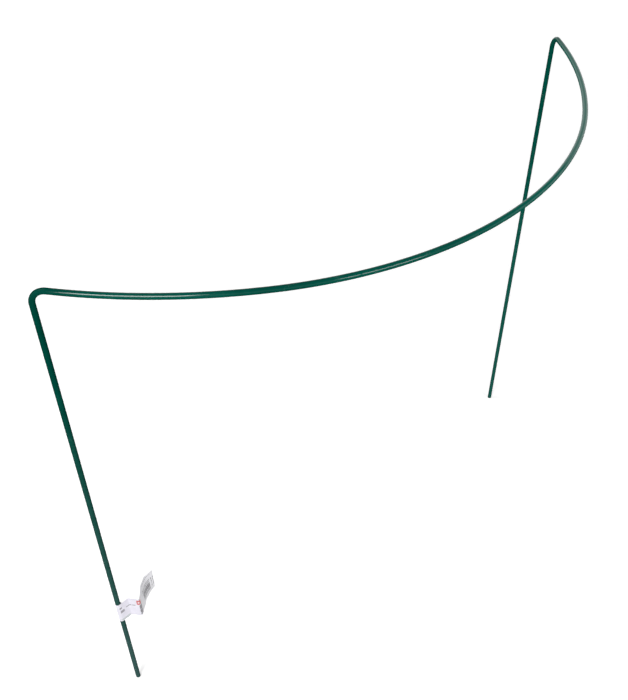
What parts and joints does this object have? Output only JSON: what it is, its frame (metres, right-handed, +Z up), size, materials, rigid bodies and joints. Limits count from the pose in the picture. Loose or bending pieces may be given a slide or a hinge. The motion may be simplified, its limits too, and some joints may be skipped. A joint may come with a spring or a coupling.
{
  "type": "plant support stake",
  "caption": "Coated wire bent into a level bow between upright legs, pushed into the ground to hold up leaning plants, with a folded paper label on a leg.",
  "frame": {"origin": "on the ground midway between the two feet", "axes": "+X from the labelled leg to the plain leg, -Y towards the middle of the bow, +Z up along the legs"},
  "size_m": [0.6956, 0.2066, 0.6],
  "materials": {
    "steel": "drawn",
    "coat": "gloss",
    "paper": "printed",
    "adhesive": "tacky"
  },
  "bodies": {
    "stake": {"steel_core": "steel", "plastic_coating": "coat", "label_band": "paper", "band_adhesive": "adhesive"},
    "flag": {"label_flag_front": "paper", "label_flag_back": "paper", "flag_adhesive": "adhesive"}
  },
  "joints": [
    {"name": "label_crease", "type": "hinge", "parent": "stake", "child": "flag", "pos_m": [-0.32565, -0.01232, 0.1445], "axis": [0, 0, 1], "range_deg": [-97, 75], "stiffness_Nm_per_rad": 0.0005}
  ]
}
